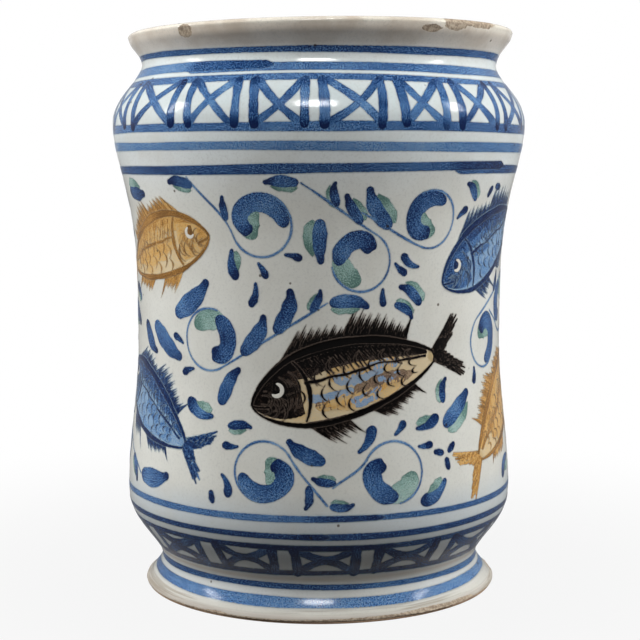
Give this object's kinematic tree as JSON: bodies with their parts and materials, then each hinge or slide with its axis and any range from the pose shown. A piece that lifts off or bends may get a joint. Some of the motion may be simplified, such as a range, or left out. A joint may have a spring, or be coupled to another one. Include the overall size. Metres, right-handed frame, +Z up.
{
  "type": "albarello jar",
  "caption": "Waisted ceramic storage jar with a round shoulder, short neck, flared lip and spreading foot, glazed white and painted with cobalt lines, nets of crosses and a leafy fish frieze.",
  "frame": {"origin": "centre of the foot ring, on the plane that the jar stands on", "axes": "+Z up along the axis that the jar was thrown on, -Y towards the side that the picture shows"},
  "size_m": [0.1794, 0.1794, 0.24],
  "materials": {
    "clay": "matte",
    "white_glaze": "gloss",
    "cobalt": "gloss",
    "manganese_brown": "gloss",
    "ochre": "gloss",
    "copper_green": "gloss"
  },
  "bodies": {
    "root": {"clay_body": "clay", "outer_glaze": "white_glaze", "inner_glaze": "white_glaze", "neck_lines": "cobalt", "shoulder_net": "cobalt", "shoulder_lines": "cobalt", "base_lines": "cobalt", "base_net": "cobalt", "foot_lines": "cobalt"}
  },
  "joints": []
}
